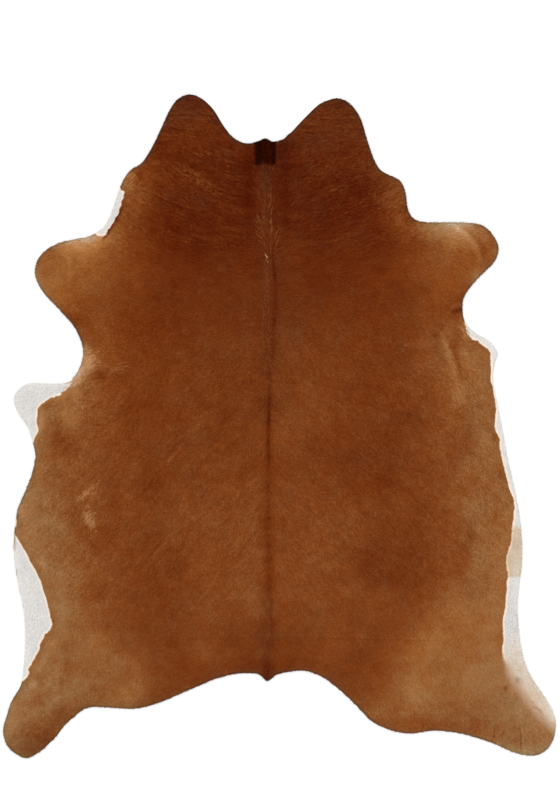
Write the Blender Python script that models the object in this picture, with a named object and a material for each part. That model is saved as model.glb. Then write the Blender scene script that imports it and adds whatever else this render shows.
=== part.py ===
# A cowhide rug, hair side up, lying flat on a floor. Metres, +Z up, +Y towards the neck.
# The hide is one closed sheet: a flat leather underside at z = 0, a rim that thins out to the hair
# tips, and a hair side that is thicker along the back and the neck than at the belly.

import math

import bpy
import numpy as np
from mathutils import Vector
from mathutils.geometry import delaunay_2d_cdt

# ---------------------------------------------------------------- outline
# Every row is a point of the hide's edge: (out, fore).
# out  = metres from the spine line, minus on the left of the picture and plus on the right
# fore = metres forward of the tail tip, so the hind legs run to minus values
# The rows run clockwise, from the small nub at the middle of the neck.

neck_notch_right = (
    (-0.007, 1.848), (0.017, 1.836), (0.041, 1.840), (0.075, 1.867), (0.109, 1.903),
)
neck_lobe_right = (
    (0.160, 1.954), (0.177, 1.967), (0.197, 1.976), (0.231, 1.984), (0.265, 1.976), (0.296, 1.947),
    (0.316, 1.913), (0.337, 1.845), (0.364, 1.770), (0.384, 1.739),
)
shoulder_right = (
    (0.415, 1.722), (0.449, 1.704), (0.466, 1.671), (0.476, 1.610), (0.490, 1.580), (0.517, 1.566),
)
foreleg_right = (
    (0.612, 1.563), (0.687, 1.561), (0.734, 1.549), (0.768, 1.515), (0.785, 1.471), (0.772, 1.430),
    (0.721, 1.376), (0.687, 1.338), (0.666, 1.301), (0.663, 1.257),
)
flank_right = (
    (0.673, 1.223), (0.704, 1.187), (0.745, 1.164), (0.768, 1.141), (0.782, 1.114), (0.773, 1.087),
    (0.767, 1.025), (0.779, 0.957), (0.797, 0.866), (0.818, 0.753), (0.845, 0.631), (0.862, 0.515),
    (0.864, 0.400), (0.857, 0.345), (0.850, 0.274), (0.851, 0.203), (0.859, 0.135), (0.870, 0.080),
)
hind_leg_right = (
    (0.891, 0.026), (0.939, -0.047), (0.961, -0.083), (0.976, -0.117), (0.981, -0.150),
    (0.976, -0.180), (0.961, -0.217), (0.936, -0.241), (0.901, -0.253), (0.842, -0.244),
    (0.757, -0.208), (0.672, -0.182), (0.617, -0.172), (0.557, -0.168),
)
rump_right = (
    (0.483, -0.178), (0.411, -0.165), (0.350, -0.135), (0.302, -0.086), (0.241, -0.029),
    (0.180, 0.016), (0.119, 0.036), (0.077, 0.033),
)
tail_tuft = (
    (0.027, 0.021), (0.009, 0.006), (-0.003, 0.000), (-0.013, 0.006), (-0.022, 0.017),
    (-0.037, 0.025),
)
rump_left = (
    (-0.068, 0.027), (-0.110, 0.025), (-0.177, 0.008), (-0.255, -0.024), (-0.365, -0.071),
    (-0.450, -0.093), (-0.535, -0.090),
)
hind_leg_left = (
    (-0.602, -0.088), (-0.626, -0.095), (-0.656, -0.120), (-0.687, -0.147), (-0.717, -0.186),
    (-0.748, -0.217), (-0.772, -0.238), (-0.820, -0.262), (-0.866, -0.241), (-0.889, -0.216),
    (-0.902, -0.168), (-0.890, -0.117), (-0.875, -0.069), (-0.842, -0.010),
)
flank_left = (
    (-0.833, 0.046), (-0.826, 0.141), (-0.831, 0.237), (-0.852, 0.339), (-0.866, 0.451),
    (-0.864, 0.515), (-0.853, 0.583), (-0.833, 0.634), (-0.806, 0.702), (-0.792, 0.770),
    (-0.799, 0.801),
)
belly_lobe_left = (
    (-0.816, 0.862), (-0.853, 0.920), (-0.864, 0.961), (-0.853, 0.988), (-0.819, 1.013),
    (-0.758, 1.015), (-0.700, 1.015), (-0.673, 1.024), (-0.649, 1.053), (-0.632, 1.097),
    (-0.632, 1.141), (-0.656, 1.199),
)
foreleg_left = (
    (-0.707, 1.260), (-0.758, 1.314), (-0.782, 1.352), (-0.794, 1.393), (-0.785, 1.433),
    (-0.758, 1.466), (-0.717, 1.490), (-0.673, 1.503), (-0.619, 1.513), (-0.581, 1.530),
    (-0.558, 1.546),
)
shoulder_left = (
    (-0.537, 1.586), (-0.515, 1.648), (-0.500, 1.692), (-0.469, 1.739), (-0.432, 1.762),
)
neck_lobe_left = (
    (-0.401, 1.807), (-0.367, 1.875), (-0.333, 1.947), (-0.309, 1.979), (-0.269, 1.998),
    (-0.231, 1.988), (-0.187, 1.950), (-0.146, 1.886),
)
neck_notch_left = (
    (-0.112, 1.847), (-0.071, 1.830), (-0.034, 1.838),
)
outline_table = (
    neck_notch_right + neck_lobe_right + shoulder_right + foreleg_right + flank_right
    + hind_leg_right + rump_right + tail_tuft + rump_left + hind_leg_left + flank_left
    + belly_lobe_left + foreleg_left + shoulder_left + neck_lobe_left + neck_notch_left
)
outline_step = 0.017      # distance between the points that are cut from the smooth edge

# ---------------------------------------------------------------- thickness
rim_height = 0.0022       # where the hair tips end, right at the edge
belly_height = 0.0042     # leather with its lying coat, away from the back
rim_taper = 0.022         # how far in from the edge the coat takes to reach full height

# Where the hide is thicker, or its coat swells or dips:
# (out, fore, half width, half length, extra height)
swell_table = (
    (0.000, 0.900, 0.300, 1.000, 0.0007),      # the back
    (0.000, 0.900, 0.018, 0.900, 0.0005),      # the ridge of the spine
    (0.000, 1.700, 0.260, 0.240, 0.0006),      # the thick skin of the neck
    (-0.240, 1.880, 0.080, 0.100, 0.0004),     # left neck lobe
    (0.240, 1.870, 0.080, 0.100, 0.0004),      # right neck lobe
    (-0.590, 1.060, 0.060, 0.090, -0.0005),    # dip behind the left foreleg
    (0.610, 1.230, 0.060, 0.100, -0.0005),     # dip behind the right foreleg
    (-0.700, -0.130, 0.090, 0.100, 0.0003),    # left hind leg
    (0.850, -0.170, 0.100, 0.080, 0.0003),     # right hind leg
    (-0.520, 0.420, 0.160, 0.260, -0.0003),    # hollow of the left flank
    (0.560, 0.420, 0.160, 0.260, -0.0003),     # hollow of the right flank
)

# ---------------------------------------------------------------- mesh
rim_insets = (0.0008, 0.0045)     # how far in the two rows of points above the rim lie
coat_step = 0.037                 # distance between the points of the hair side

coat_brown = (0.205, 0.062, 0.018, 1.0)
coat_roughness = 0.72


def smoothEdge(knots, step):
    # Centripetal Catmull-Rom: the curve passes each point, and its parameter grows with the
    # square root of the distance, so uneven rows give no loops.
    count = len(knots)
    points = []
    for i in range(count):
        p0, p1, p2, p3 = (knots[(i + k - 1) % count] for k in range(4))
        t1 = math.sqrt(np.linalg.norm(p1 - p0))
        t2 = t1 + math.sqrt(np.linalg.norm(p2 - p1))
        t3 = t2 + math.sqrt(np.linalg.norm(p3 - p2))
        parts = max(1, round(np.linalg.norm(p2 - p1) / step))
        t = (t1 + (t2 - t1) * np.arange(parts) / parts)[:, None]
        a1 = p0 * (t1 - t) / t1 + p1 * t / t1
        a2 = p1 * (t2 - t) / (t2 - t1) + p2 * (t - t1) / (t2 - t1)
        a3 = p2 * (t3 - t) / (t3 - t2) + p3 * (t - t2) / (t3 - t2)
        b1 = a1 * (t2 - t) / t2 + a2 * t / t2
        b2 = a2 * (t3 - t) / (t3 - t1) + a3 * (t - t1) / (t3 - t1)
        points.append(b1 * (t2 - t) / (t2 - t1) + b2 * (t - t1) / (t2 - t1))
    return np.concatenate(points)


def insetEdge(edge, distance):
    # Each point moves to the right of the way the edge runs, which is inwards.
    along = np.roll(edge, -1, axis=0) - np.roll(edge, 1, axis=0)
    along /= np.linalg.norm(along, axis=1, keepdims=True)
    inward = np.stack([along[:, 1], -along[:, 0]], axis=1)
    return edge + inward * distance


def edgeDistance(points, edge):
    # Shortest distance from each point to any straight piece of the edge.
    start = edge[None, :, :]
    run = np.roll(edge, -1, axis=0)[None, :, :] - start
    reach = points[:, None, :] - start
    share = np.clip((reach * run).sum(axis=2) / (run * run).sum(axis=2), 0.0, 1.0)
    return np.linalg.norm(reach - share[:, :, None] * run, axis=2).min(axis=1)


def insideEdge(points, edge):
    # A point is inside where a line to its right crosses the edge an odd number of times.
    x, y = points[:, 0][:, None], points[:, 1][:, None]
    x1, y1 = edge[:, 0][None, :], edge[:, 1][None, :]
    x2, y2 = np.roll(edge[:, 0], -1)[None, :], np.roll(edge[:, 1], -1)[None, :]
    spans = (y1 > y) != (y2 > y)
    rise = np.where(y2 == y1, 1.0, y2 - y1)
    cross = x1 + (y - y1) * (x2 - x1) / rise
    return (spans & (x < cross)).sum(axis=1) % 2 == 1


def coatHeight(points, edge):
    # Full height away from the edge, rounded off towards the rim, plus the swells.
    share = np.clip(edgeDistance(points, edge) / rim_taper, 0.0, 1.0)
    round_off = np.sqrt(1.0 - (1.0 - share) ** 2)
    full = np.full(len(points), belly_height)
    for out, fore, half_width, half_length, extra in swell_table:
        away = ((points[:, 0] - out) / half_width) ** 2 + ((points[:, 1] - fore) / half_length) ** 2
        full += extra * np.exp(-away)
    return rim_height + (full - rim_height) * round_off


def coatGrid(edge, step):
    # Rows of evenly spread points inside the edge, every other row shifted by half a step.
    low, high = edge.min(axis=0), edge.max(axis=0)
    row_gap = step * math.sqrt(3.0) / 2.0
    rows = np.arange(low[1], high[1], row_gap)
    columns = np.arange(low[0], high[0], step)
    x, y = np.meshgrid(columns, rows)
    x += (np.arange(len(rows)) % 2)[:, None] * step / 2.0
    points = np.stack([x.ravel(), y.ravel()], axis=1)
    points = points[insideEdge(points, edge)]
    return points[edgeDistance(points, edge) > step * 0.45]


def fillEdge(edge, inner_points):
    # Triangles between a closed edge, given clockwise, and the points inside it.
    flat = [Vector(p) for p in np.concatenate([edge, inner_points])]
    count = len(edge)
    ring = [(i, (i + 1) % count) for i in range(count)]
    result = delaunay_2d_cdt(flat, ring, [], 1, 1e-7)
    if len(result[0]) != len(flat):
        raise RuntimeError("the fill moved or merged points of the edge")
    return [tuple(face) for face in result[2]]


def hideMaterial():
    material = bpy.data.materials.new("hide_brown")
    material.use_nodes = True
    surface = material.node_tree.nodes["Principled BSDF"]
    surface.inputs["Base Color"].default_value = coat_brown
    surface.inputs["Roughness"].default_value = coat_roughness
    surface.inputs["Metallic"].default_value = 0.0
    return material


def makeHide():
    edge = smoothEdge(np.array(outline_table), outline_step)
    count = len(edge)
    rings = [edge] + [insetEdge(edge, inset) for inset in rim_insets]
    grid = coatGrid(rings[-1], coat_step)
    rows = [np.column_stack([edge, np.zeros(count)])]
    rows.append(np.column_stack([rings[1], np.full(count, rim_height)]))
    top_points = np.concatenate([rings[2], grid])
    rows.append(np.column_stack([top_points, coatHeight(top_points, edge)]))
    points = np.concatenate(rows)
    middle = (edge.min(axis=0) + edge.max(axis=0)) / 2.0
    points[:, :2] -= middle

    faces = []
    for row in range(2):
        lower, upper = row * count, (row + 1) * count
        for i in range(count):
            j = (i + 1) % count
            faces.append((lower + j, lower + i, upper + i, upper + j))
    faces += [tuple(2 * count + i for i in face) for face in fillEdge(rings[2], grid)]
    faces += [tuple(reversed(face)) for face in fillEdge(edge, np.empty((0, 2)))]

    mesh = bpy.data.meshes.new("cowhide")
    mesh.from_pydata(points.tolist(), [], faces)
    mesh.validate()
    mesh.materials.append(hideMaterial())
    hide = bpy.data.objects.new("cowhide", mesh)
    bpy.context.scene.collection.objects.link(hide)
    return hide


for old in list(bpy.data.objects):
    bpy.data.objects.remove(old, do_unlink=True)

makeHide()
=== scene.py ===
import itertools
import math

import bpy
import numpy as np
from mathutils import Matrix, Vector
from mathutils.geometry import delaunay_2d_cdt


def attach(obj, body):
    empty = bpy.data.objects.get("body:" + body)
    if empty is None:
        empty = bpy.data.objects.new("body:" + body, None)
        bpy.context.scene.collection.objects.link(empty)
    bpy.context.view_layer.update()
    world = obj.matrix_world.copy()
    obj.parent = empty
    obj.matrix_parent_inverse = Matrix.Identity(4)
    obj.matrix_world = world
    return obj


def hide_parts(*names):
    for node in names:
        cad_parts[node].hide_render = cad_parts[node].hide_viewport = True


# A whole cowhide, hair side up, flat on a pale floor. Metres, +Z up, +Y towards the neck.
# Places on the hide are (out, fore): out from the spine, minus on the left, and fore of the tail tip.
# The tables of white patches, soft patches, creases and the spine line are in millimetres, and their tones,
# tints and shares in thousandths.

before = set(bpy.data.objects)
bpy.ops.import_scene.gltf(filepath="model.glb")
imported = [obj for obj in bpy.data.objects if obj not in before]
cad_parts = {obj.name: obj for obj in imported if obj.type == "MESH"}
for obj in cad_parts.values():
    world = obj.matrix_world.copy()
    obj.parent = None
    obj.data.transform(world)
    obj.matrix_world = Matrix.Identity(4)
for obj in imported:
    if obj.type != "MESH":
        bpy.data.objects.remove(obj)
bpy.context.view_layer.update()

hide = {
    "spineX": -0.0395,        # where the spine runs in the frame
    "tailY": -0.8681,         # where the tail tip lies
    "heart": (0.00, 0.94),    # the whole outline can be seen from this place (out, fore)
    "floorTouch": 1e-5,       # corners of the solid below this height stand on the floor
    "edgeParts": 4,           # points of the smooth outline for each corner of the solid
    "mapStep": 0.004,         # cell of the distance maps
    "mapMargin": 0.16,        # how far the maps reach past the hide
    "lineShare": 0.4,         # the maps' loops are cut into pieces of this share of a cell
    "bakeMargin": 0.01,       # clear border of the UV map
    "seed": 1871,
}


# Small tools

def smoothStep(low, high, value):
    # 0 below low, 1 above high, and the cubic 3t^2 - 2t^3 between them.
    t = np.clip((value - low) / (high - low), 0.0, 1.0)
    return t * t * (3.0 - 2.0 * t)


def softSpan(first, last, value):
    # 1 in a span and 0 outside it. Both ends fade by a smooth step, each from one place to another.
    return smoothStep(*first, value) * (1.0 - smoothStep(*last, value))


def softNoise(points, size, seed):
    # Value noise from -1 to 1: a random value at each corner of a net of cells, joined by a cubic step.
    # The net comes round again after so many cells, and it starts far off, so that no cell is below 0.
    cells, start = 256, 500.0
    table = np.random.default_rng(hide["seed"] + seed).uniform(-1.0, 1.0, (cells, cells))
    q = points / np.array(size) + start
    cell = np.floor(q).astype(int)
    f = q - cell
    f = f * f * (3.0 - 2.0 * f)
    x, y = cell[:, 0], cell[:, 1]
    corner = [table[(y + j) % cells, (x + i) % cells] for j in (0, 1) for i in (0, 1)]
    low = corner[0] + (corner[1] - corner[0]) * f[:, 0]
    high = corner[2] + (corner[3] - corner[2]) * f[:, 0]
    return low + (high - low) * f[:, 1]


def patchSum(points, rows):
    # Sum of soft ellipses: amount times exp(-(u / half width)^2 - (v / half length)^2), where u and v are
    # measured from the row's place. Rows are out, fore, half width, half length, amount and, where the
    # ellipse is turned, its angle in degrees.
    total = np.zeros(len(points))
    for row in rows:
        out, fore, halfWidth, halfLength, amount = (number / 1000.0 for number in row[:5])
        angle = math.radians(sum(row[5:]))
        c, s = math.cos(angle), math.sin(angle)
        x, y = points[:, 0] - out, points[:, 1] - fore
        total += amount * np.exp(-((x * c + y * s) / halfWidth) ** 2 - ((y * c - x * s) / halfLength) ** 2)
    return total


def turned(way, degrees):
    # Each (x, y) turned to the left: x cos a - y sin a, x sin a + y cos a.
    c, s = np.cos(np.radians(degrees)), np.sin(np.radians(degrees))
    return np.stack([way[:, 0] * c - way[:, 1] * s, way[:, 0] * s + way[:, 1] * c], axis=1)


def smoothLoop(points, parts):
    # Closed Catmull-Rom curve: a cubic between two points, with slopes set by their neighbours.
    before, here, after, beyond = (np.roll(points, k, axis=0)[:, None, :] for k in (1, 0, -1, -2))
    t = (np.arange(parts) / parts)[None, :, None]
    curve = 2.0 * here + (after - before) * t
    curve = curve + (2.0 * before - 5.0 * here + 4.0 * after - beyond) * t ** 2
    curve = curve + (3.0 * here - before - 3.0 * after + beyond) * t ** 3
    return 0.5 * curve.reshape(-1, 2)


def denseLoop(points, step):
    # The same closed loop of straight pieces, cut at even steps along its length.
    closed = np.vstack([points, points[:1]])
    along = np.concatenate([[0.0], np.cumsum(np.linalg.norm(np.diff(closed, axis=0), axis=1))])
    places = np.linspace(0.0, along[-1], int(along[-1] / step) + 1)[:-1]
    return np.stack([np.interp(places, along, closed[:, i]) for i in (0, 1)], axis=1)


def insideDistance(loop):
    # Distance to a closed loop at the corners of a square net, plus inside and minus outside.
    # Jump flooding: each corner keeps the nearest loop point that it or corners 256, 128 ... 1 cells away
    # know of. A corner is inside where the loop crosses its row an odd number of times to its left.
    low, step, shape = distanceNet["low"], hide["mapStep"], distanceNet["shape"]
    line = denseLoop(loop, step * hide["lineShare"])
    axes = [low[i] + step * np.arange(shape[1 - i]) for i in (0, 1)]
    corners = np.stack(np.meshgrid(*axes), axis=2)
    nearest = np.full(corners.shape, 1000.0)      # far away until a point is known
    cells = np.clip(np.round((line - low) / step).astype(int), 0, np.array(shape[::-1]) - 1)
    nearest[cells[:, 1], cells[:, 0]] = line
    best = np.linalg.norm(nearest - corners, axis=2)
    for jump in (256, 128, 64, 32, 16, 8, 4, 2, 1, 1):
        for dx, dy in itertools.product((-jump, 0, jump), repeat=2):
            other = np.roll(nearest, (dy, dx), axis=(0, 1))
            distance = np.linalg.norm(other - corners, axis=2)
            closer = distance < best
            nearest[closer] = other[closer]
            best[closer] = distance[closer]
    ahead = np.roll(line, -1, axis=0)
    row, nextRow = (np.ceil((p[:, 1] - low[1]) / step).astype(int) for p in (line, ahead))
    crossing = np.minimum(row, nextRow)
    turn = (row != nextRow) & (crossing >= 0) & (crossing < shape[0])
    rise = (low[1] + crossing[turn] * step - line[turn, 1]) / (ahead[turn, 1] - line[turn, 1])
    x = line[turn, 0] + rise * (ahead[turn, 0] - line[turn, 0])
    column = np.clip(np.ceil((x - low[0]) / step).astype(int), 0, shape[1] - 1)
    crossings = np.zeros(shape, int)
    np.add.at(crossings, (crossing[turn], column), 1)
    return np.where(np.cumsum(crossings, axis=1) % 2 == 1, best, -best)


def readMap(values, points):
    # Bilinear reading of a map at any place on the hide.
    q = (points - distanceNet["low"]) / hide["mapStep"]
    cell = np.clip(np.floor(q).astype(int), 0, np.array(values.shape[::-1]) - 2)
    f = np.clip(q - cell, 0.0, 1.0)
    x, y = cell[:, 0], cell[:, 1]
    low = values[y, x] * (1.0 - f[:, 0]) + values[y, x + 1] * f[:, 0]
    high = values[y + 1, x] * (1.0 - f[:, 0]) + values[y + 1, x + 1] * f[:, 0]
    return low * (1.0 - f[:, 1]) + high * f[:, 1]


# Outline, read from the frame's own solid

def frameEdge(node):
    # The outline is where the solid's wall stands on the floor, put in order by its bearing from the heart.
    places = np.empty(len(node.data.vertices) * 3)
    node.data.vertices.foreach_get("co", places)
    places = places.reshape(-1, 3)
    floor = np.unique(np.round(places[places[:, 2] < hide["floorTouch"], :2], 6), axis=0)
    floor = floor - (hide["spineX"], hide["tailY"])
    bearing = np.arctan2(floor[:, 1] - hide["heart"][1], floor[:, 0] - hide["heart"][0])
    return floor[np.argsort(-bearing)]


edge = smoothLoop(frameEdge(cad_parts["cowhide"]), hide["edgeParts"])
netLow = edge.min(axis=0) - hide["mapMargin"]
netSize = np.ceil((edge.max(axis=0) + hide["mapMargin"] - netLow) / hide["mapStep"]).astype(int) + 1
distanceNet = {"low": netLow, "shape": (netSize[1], netSize[0])}
edgeMap = insideDistance(edge)
ahead = np.roll(edge, -1, axis=0)
hideArea = 0.5 * abs(np.sum(edge[:, 0] * ahead[:, 1] - ahead[:, 0] * edge[:, 1]))
print("outline:", len(edge), "points")


# White patches: each loop runs down the border of brown and white, then back outside the hide

whitePatches = {
    "neckLeft": (
        (-503, 1682), (-500, 1671), (-489, 1668), (-492, 1648), (-497, 1627), (-503, 1610), (-505, 1593),
        (-516, 1576), (-524, 1559), (-535, 1546), (-544, 1532), (-553, 1520), (-561, 1513), (-570, 1516),
        (-582, 1519), (-600, 1526), (-622, 1545), (-571, 1655),
    ),
    "bellyLeft": (
        (-663, 1027), (-669, 1013), (-677, 1000), (-690, 986), (-709, 975), (-728, 968), (-746, 960),
        (-762, 950), (-776, 938), (-784, 925), (-786, 896), (-784, 872), (-780, 855), (-786, 840),
        (-796, 821), (-801, 798), (-843, 787), (-911, 957), (-860, 1053), (-707, 1053),
    ),
    "thighLeft": (
        (-863, 505), (-850, 485), (-833, 460), (-808, 409), (-786, 370), (-769, 331), (-755, 284),
        (-738, 218), (-733, 194), (-738, 179), (-750, 167), (-760, 163), (-761, 150), (-769, 140),
        (-780, 123), (-775, 112), (-780, 101), (-790, 89), (-797, 73), (-806, 58), (-816, 41), (-810, 29),
        (-818, 16), (-830, 5), (-838, 0), (-843, -12), (-894, -29), (-928, 277), (-894, 515),
    ),
    "flankLeft": (
        (-857, 556), (-855, 545), (-858, 527), (-880, 527), (-880, 560),
    ),
    "sideRight": (
        (667, 1229), (672, 1192), (678, 1180), (690, 1167), (711, 1158), (729, 1143), (746, 1131),
        (757, 1117), (758, 1056), (757, 1020), (767, 987), (775, 923), (770, 870), (775, 849), (788, 825),
        (786, 800), (798, 748), (808, 700), (821, 655), (833, 624), (839, 594), (835, 556), (830, 509),
        (824, 464), (810, 427), (809, 407), (816, 369), (811, 311), (806, 247), (798, 206), (800, 141),
        (796, 107), (801, 80), (816, 46), (848, -5), (891, -65), (933, -114), (983, -161), (1044, -137),
        (1027, -29), (942, 141), (942, 413), (908, 787), (840, 1127), (755, 1229),
    ),
}
whiteMap = np.max([insideDistance(np.array(loop) / 1000.0) for loop in whitePatches.values()], axis=0)
print("white patches:", len(whitePatches))

border = {
    "crisp": 0.0010,          # half the width of the change from brown to white
    "soft": 0.034,            # the same on the right hind leg, where brown and white hair mix
    "softFore": (-0.010, 0.115),   # where that leg's border turns from gradual to crisp, going fore
    "softOut": 0.6,           # and how far out it lies
    "softTan": 0.35,          # how much lighter the brown hair gets there
    "jag": ((0.0018, 0.024), (0.0009, 0.010)),   # how far it strays from the loops, and over what length
    # where it is ragged and by how much, as rows for patchSum, and how finely
    "ragged": {
        "size": 0.0080,
        "places": (
            (-540, 1590, 50, 80, 6.2), (-700, 990, 60, 35, 7), (-720, 100, 60, 60, 5),
            (700, 1165, 40, 30, 3),
        ),
    },
    "shortHair": (0.030, 0.25),   # hair gets shorter within this distance of it, down to this share
    # the line along it in the white hair: its width, extra brightness and tint
    "warmLine": {"width": 0.0080, "tone": 0.20, "tint": 0.50},
}


def softShare(points):
    # 1 where the border with the white is a gradual one: the rear end of the patch on the right.
    return (1.0 - smoothStep(*border["softFore"], points[:, 1])) * (points[:, 0] > border["softOut"])


def whiteness(points):
    # Share of white hair: 0 in the brown, 1 in the white, from the distance to the border.
    distance = readMap(whiteMap, points)
    for number, (amount, size) in enumerate(border["jag"]):
        distance = distance + amount * softNoise(points, size, 5 + number)
    ragged = border["ragged"]
    distance = distance + patchSum(points, ragged["places"]) * softNoise(points, ragged["size"], 9)
    reach = border["crisp"] + (border["soft"] - border["crisp"]) * softShare(points)
    return smoothStep(-1.0, 1.0, distance / reach)


def warmLine(points):
    # 1 in the white hair next to the brown, fading by a smooth step from half the line's width to all of it.
    width = border["warmLine"]["width"]
    return 1.0 - smoothStep(0.5 * width, width, readMap(whiteMap, points))


shading = {
    # rows for patchSum, for white hair: 0 is clean, 1000 is beige
    "beige": (
        (850, 60, 80, 80, 550), (920, -60, 70, 90, 550), (-600, 1520, 30, 20, 250), (-863, 492, 5, 40, 900),
        (-855, 370, 4, 12, 600), (848, 4, 16, 16, 450), (905, -75, 30, 60, 250, 40),
    ),
    "beigeSpots": (0.3, 0.02),    # share by which that varies, and over what size
    # the beige stretch on the right flank: where its ends fade, from where outwards, how beige, how spotted
    "beigeFlank": {"rear": (0.352, 0.360), "front": (0.515, 0.535), "out": 0.7, "beige": 0.75, "spots": 0.25},
    # rows for patchSum, for white hair: darker than clean below 0
    "whiteTone": (
        (843, 182, 14, 16, -50), (-863, 492, 5, 36, -200), (-855, 370, 4, 12, -80), (848, 7, 9, 9, -160),
        (853, -4, 12, 5, -70, -30), (808, -22, 6, 8, -120), (760, 1130, 50, 80, 30),
        (835, 220, 30, 80, -35), (840, 480, 30, 60, -20), (-830, 970, 40, 40, -12),
    ),
    "whiteClouds": (0.015, 0.025),    # amount and size of its clouds
    # rows for patchSum, for brown hair: redder below 0, greyer above
    "brownTint": (
        (240, 1960, 50, 30, 200), (-280, 1940, 50, 40, 300), (-280, 1930, 100, 70, 180),
        (-270, 1930, 50, 50, 140), (240, 1920, 100, 70, 220), (150, 1840, 80, 60, 280),
        (-12, 1700, 22, 60, 500), (-470, 1700, 30, 40, -200), (110, 1700, 40, 60, 140),
        (-420, 1665, 30, 30, 100), (415, 1650, 30, 50, 350), (-68, 1630, 22, 35, -450),
        (620, 1540, 60, 20, 300), (-610, 1500, 70, 26, -250), (-600, 1500, 22, 16, 450),
        (760, 1490, 30, 50, -350), (-535, 1475, 40, 30, -150), (-400, 1450, 140, 120, -220),
        (680, 1440, 90, 70, -280), (-650, 1420, 120, 70, -450), (500, 1420, 90, 90, -280),
        (-780, 1400, 30, 50, -300), (320, 1390, 140, 50, -240), (620, 1330, 60, 50, -500),
        (-680, 1310, 90, 50, -450), (-650, 1240, 30, 30, -600), (40, 1200, 60, 350, 150),
        (-75, 1200, 18, 200, 250), (-430, 1180, 160, 280, -220), (680, 1178, 14, 22, 400),
        (100, 1160, 30, 100, 250), (350, 1150, 120, 160, -100), (650, 1060, 50, 60, -150),
        (-640, 1040, 30, 50, 50, -40), (660, 1030, 30, 50, 220), (730, 880, 50, 180, 250),
        (680, 850, 30, 60, 300), (220, 755, 60, 30, 150), (-780, 600, 80, 260, 220),
        (-843, 590, 14, 14, 300), (-848, 585, 30, 40, 350), (-690, 500, 40, 40, 350),
        (700, 500, 40, 140, 350), (-700, 270, 50, 120, 320), (-570, 270, 50, 60, 200),
        (-10, 180, 60, 100, 100), (640, 170, 120, 80, -280), (10, 155, 110, 30, 280),
        (500, 100, 50, 70, -250), (-680, 100, 70, 22, 320), (-764, 80, 16, 50, 250),
        (-420, 10, 90, 20, 250), (-400, 0, 60, 18, 250), (830, -80, 180, 130, 450),
        (-720, -90, 180, 130, 450), (580, -110, 80, 30, 250), (462, -112, 20, 12, 250),
        (-850, -220, 70, 60, 600), (-800, -220, 60, 30, 400), (880, -230, 120, 40, 500),
    ),
    "brownClouds": ((0.10, 0.075), (0.12, 0.046), (0.13, 0.026), (0.12, 0.013)),   # amount and size
    "brownTop": 3.0,              # the greyest that brown hair gets
    # painted shade along the outline: reach from it, and amount, of the darker line, the faint band and the
    # line on white hair
    "rim": {"line": (0.0135, 0.078), "band": (0.030, 0.010), "whiteLine": (0.0045, 0.09)},
    "rimDust": ((0.016, 1.70), (0.034, 0.35)),    # the same, for the greyer, duller tint that goes with that painted shade
}


def tintAt(points, white):
    # White hair goes from clean at 0 to beige at 1, brown hair from red at 0 to grey at 1, and dull above.
    # The beige stretch on the right flank stops short at its rear end.
    share, size = shading["beigeSpots"]
    spots = softNoise(points, size, 8)
    beige = patchSum(points, shading["beige"]) * (1.0 + share * spots)
    flank = shading["beigeFlank"]
    stretch = softSpan(flank["rear"], flank["front"], points[:, 1]) * (points[:, 0] > flank["out"])
    beige += stretch * (flank["beige"] + flank["spots"] * spots)
    beige += border["warmLine"]["tint"] * warmLine(points)

    grey = 0.5 + patchSum(points, shading["brownTint"])
    for number, (amount, size) in enumerate(shading["brownClouds"]):
        grey += amount * softNoise(points, size, 61 + number)
    # greyer brown hair near the outline: the tint of the painted shade along the rim
    for reach, greyer in shading["rimDust"]:
        grey += greyer * (1.0 - smoothStep(0.0, reach, readMap(edgeMap, points)))
    block = crestBlock(points)
    grey = (grey + spineBand(points)[1]) * (1.0 - block) + crest["tint"] * block
    return np.clip(grey, 0.0, shading["brownTop"]) * (1.0 - white) + np.clip(beige, 0.0, 1.0) * white


def whiteToneAt(points):
    # 0.5 is clean white hair; a brighter line runs along the border with the brown.
    amount, size = shading["whiteClouds"]
    tone = 0.5 + patchSum(points, shading["whiteTone"]) + amount * softNoise(points, size, 9)
    return tone + border["warmLine"]["tone"] * warmLine(points) * (1.0 - softShare(points))


# The way the hair lies

flow = {
    # fore, then the heading beside the spine, half way and far out: degrees from straight out to the neck
    "rows": (
        (-0.30, -70, -50, -50), (0.30, -80, -48, -60), (0.60, -82, -45, -50), (0.90, -82, -47, -55),
        (1.12, -82, -30, -14), (1.30, -80, 0, -25), (1.42, -75, 20, -40), (1.47, 70, 26, -20),
        (1.60, 82, 32, 30), (1.75, 82, 30, 32), (1.85, 82, 20, 20), (2.05, 70, 15, 15),
    ),
    "spineReach": 0.030,      # how far out the heading beside the spine reaches
    "farOut": (0.25, 0.60),   # from where to where the far heading takes over from the middle one
    "waver": (18.0, 0.090),   # degrees and size of the slow changes
}


def heading(points):
    # The three headings are read off along the body and mixed: the one beside the spine fades out by
    # exp(-out / reach), and the other two change places by a smooth step. Mirrored on the left side.
    fore, beside, middle, far = np.array(flow["rows"]).T
    out = np.abs(points[:, 0])
    angle = np.interp(points[:, 1], fore, middle)
    angle += (np.interp(points[:, 1], fore, far) - angle) * smoothStep(*flow["farOut"], out)
    angle += (np.interp(points[:, 1], fore, beside) - angle) * np.exp(-out / flow["spineReach"])
    angle += flow["waver"][0] * softNoise(points, flow["waver"][1], 3)
    angle = np.radians(angle)
    side = np.where(points[:, 0] < 0.0, -1.0, 1.0)
    return np.stack([side * np.cos(angle), np.sin(angle)], axis=1)


# Relief: the same swells as the solid, and the skin's creases

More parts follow.
